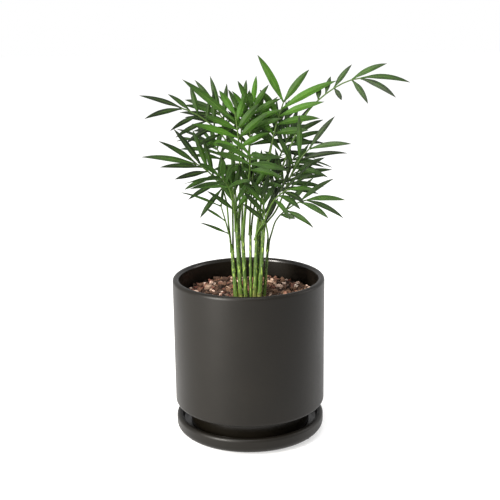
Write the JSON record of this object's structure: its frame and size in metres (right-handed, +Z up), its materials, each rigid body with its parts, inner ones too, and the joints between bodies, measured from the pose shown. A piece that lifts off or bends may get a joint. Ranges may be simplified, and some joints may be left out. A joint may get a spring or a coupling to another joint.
{
  "type": "potted parlour palm",
  "caption": "Potted parlour palm: feathery fronds on sheathed stems, in a matt black ceramic cylinder pot that stands in a round saucer.",
  "frame": {"origin": "centre of the saucer's flat underside, on the axis of the pot and the saucer", "axes": "+Z up along the pot's axis; +X to the right and -Y towards the viewer in the front view, in which the longest frond arches to the right"},
  "size_m": [0.2336, 0.1436, 0.3493],
  "materials": {
    "pot": "matte",
    "saucer": "satin",
    "pad": "matte",
    "soil": "matte",
    "stone": "matte",
    "stem": "satin",
    "leaf": "satin"
  },
  "bodies": {
    "root": {"frond_back_low": "leaf", "frond_back_upper": "leaf", "frond_centre_back": "leaf", "frond_centre_front": "leaf", "frond_centre_low": "leaf", "frond_inner_left": "leaf", "frond_inner_middle": "leaf", "frond_inner_right": "leaf", "frond_left_arch": "leaf", "frond_left_back": "leaf", "frond_left_front": "leaf", "frond_left_high": "leaf", "frond_left_inner": "leaf", "frond_left_low": "leaf", "frond_left_middle": "leaf", "frond_left_tall": "leaf", "frond_right_arch": "leaf", "frond_right_back": "leaf", "frond_right_front": "leaf", "frond_right_inner": "leaf", "frond_right_low": "leaf", "frond_right_middle": "leaf", "frond_right_upper": "leaf", "frond_top": "leaf", "frond_top_middle": "leaf", "pot": "pot", "saucer": "saucer", "saucer_pad_1": "pad", "saucer_pad_2": "pad", "saucer_pad_3": "pad", "soil": "soil", "stem_1": "stem", "stem_2": "stem", "stem_3": "stem", "stem_4": "stem", "stem_5": "stem", "stem_6": "stem", "stem_7": "stem", "stem_8": "stem", "stem_9": "stem", "stone_01": "stone", "stone_02": "stone", "stone_03": "stone", "stone_04": "stone", "stone_05": "stone", "stone_06": "stone", "stone_07": "stone", "stone_08": "stone", "stone_09": "stone", "stone_10": "stone", "stone_11": "stone", "stone_12": "stone"}
  },
  "joints": []
}
